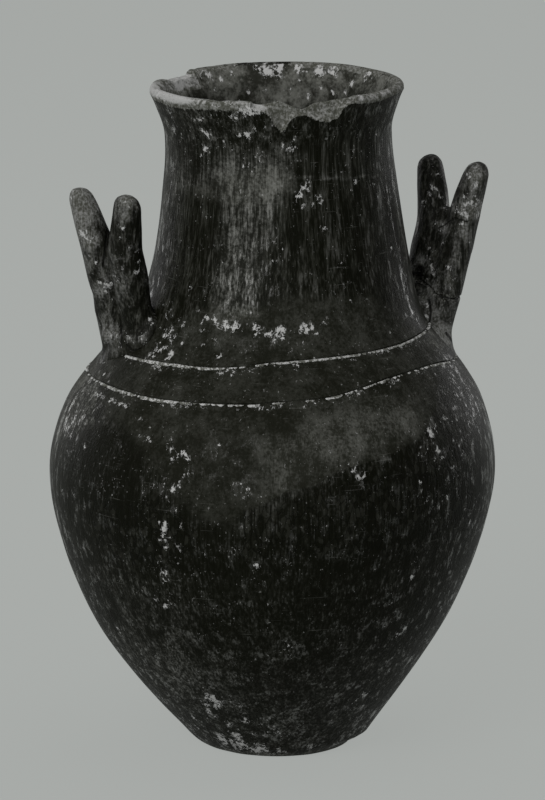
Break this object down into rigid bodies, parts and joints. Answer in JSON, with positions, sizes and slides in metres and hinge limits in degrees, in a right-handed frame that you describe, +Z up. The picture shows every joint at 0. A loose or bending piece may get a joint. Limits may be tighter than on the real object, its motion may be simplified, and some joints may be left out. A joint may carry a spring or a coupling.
{
  "type": "hydria jar",
  "caption": "Hand-built dark burnished clay jar for water: broad oval body on a small flat foot, wide flared neck, upright forked handles and lime-filled lines on the shoulder.",
  "frame": {"origin": "centre of the flat foot, on the surface that the jar stands on", "axes": "+Z up along the jar's axis, -Y towards the viewer of the picture, +X to the viewer's right"},
  "size_m": [0.3, 0.3, 0.45],
  "materials": {
    "burnished_clay": "dark burnished",
    "handle_clay": "dark, wiped smooth",
    "plain_clay": "matt, unburnished",
    "lime_fill": "chalky",
    "old_glue": "dried film"
  },
  "bodies": {
    "root": {"base_disc": "burnished_clay", "lower_wall": "burnished_clay", "belly_wall": "burnished_clay", "shoulder_wall": "burnished_clay", "neck_wall": "burnished_clay", "rim_course": "burnished_clay", "left_handle_strap": "handle_clay", "left_front_horn": "handle_clay", "left_back_horn": "handle_clay", "left_root_collar": "handle_clay", "right_handle_strap": "handle_clay", "right_handle_stub": "handle_clay", "right_front_horn": "handle_clay", "right_back_horn": "handle_clay", "right_root_collar": "handle_clay", "left_tenon_wad": "plain_clay", "right_tenon_wad": "plain_clay", "upper_line_lime": "lime_fill", "lower_line_lime": "lime_fill", "right_handle_glue": "old_glue"}
  },
  "joints": []
}
